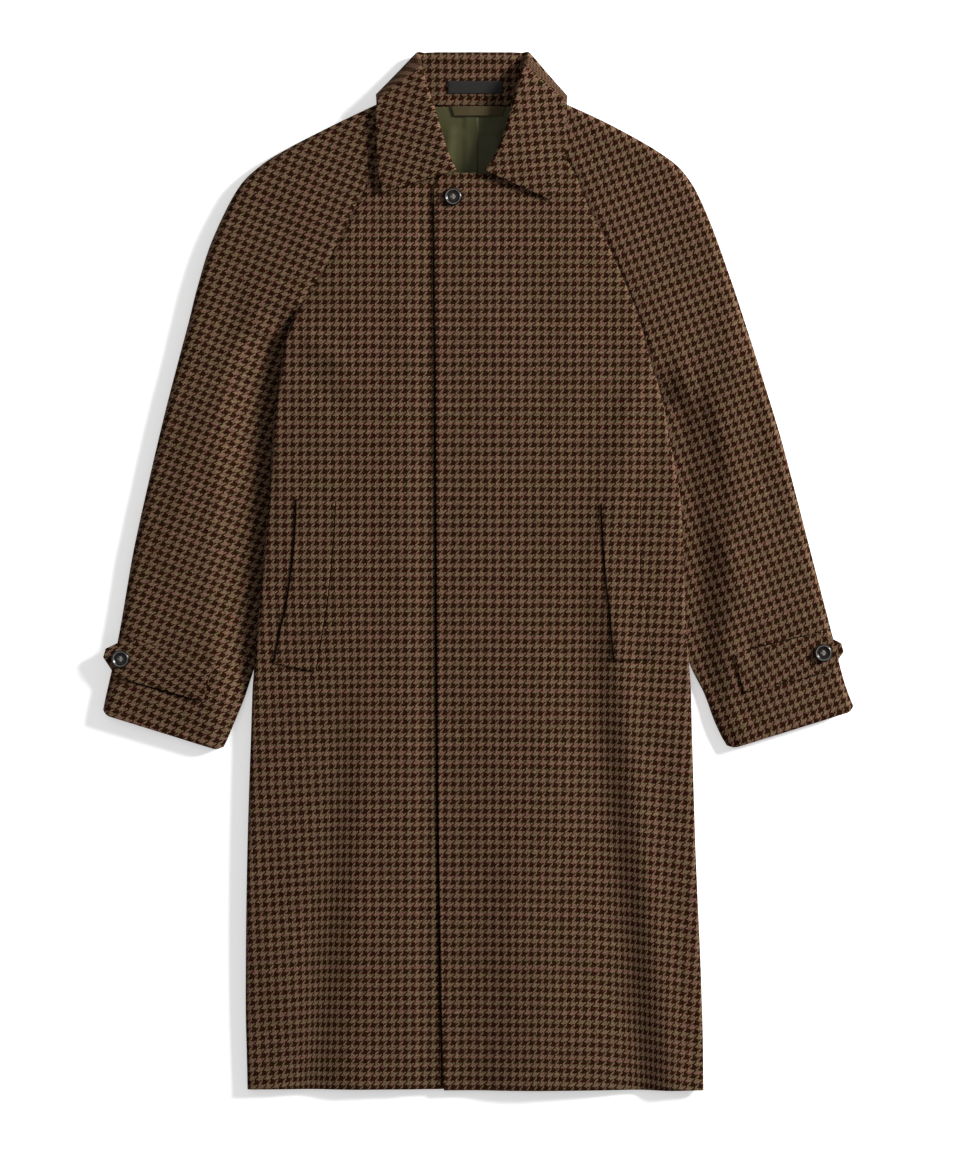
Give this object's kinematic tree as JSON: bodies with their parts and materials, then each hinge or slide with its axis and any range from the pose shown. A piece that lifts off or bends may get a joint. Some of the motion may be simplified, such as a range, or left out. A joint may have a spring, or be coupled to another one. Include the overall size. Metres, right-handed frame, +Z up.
{
  "type": "balmacaan coat",
  "caption": "Knee-length raglan balmacaan coat in houndstooth tweed, laid flat on its back: fly front, fold-down collar, slanting pocket welts and buttoned cuff straps.",
  "frame": {"origin": "centre of the coat's outline on the surface it lies on", "axes": "+X towards the wearer's left sleeve, +Y from the hem to the collar, +Z up out of the front"},
  "size_m": [0.8452, 1.1654, 0.0279],
  "materials": {
    "tweed": "brown and tan houndstooth wool tweed, matt and slightly hairy",
    "lining": "olive lining with a soft satin gloss",
    "loop": "ribbed olive-brown webbing",
    "label": "plain dark woven tape",
    "horn": "dark brown horn look, half gloss"
  },
  "bodies": {
    "root": {"front_right": "tweed", "front_left": "tweed", "back": "tweed", "sleeve_right": "tweed", "sleeve_left": "tweed", "collar": "tweed", "pocket_welt_right": "tweed", "pocket_welt_left": "tweed", "cuff_strap_right": "tweed", "cuff_strap_left": "tweed", "back_lining": "lining", "hanger_loop": "loop", "label": "label", "button_neck": "horn", "button_cuff_right": "horn", "button_cuff_left": "horn"}
  },
  "joints": []
}
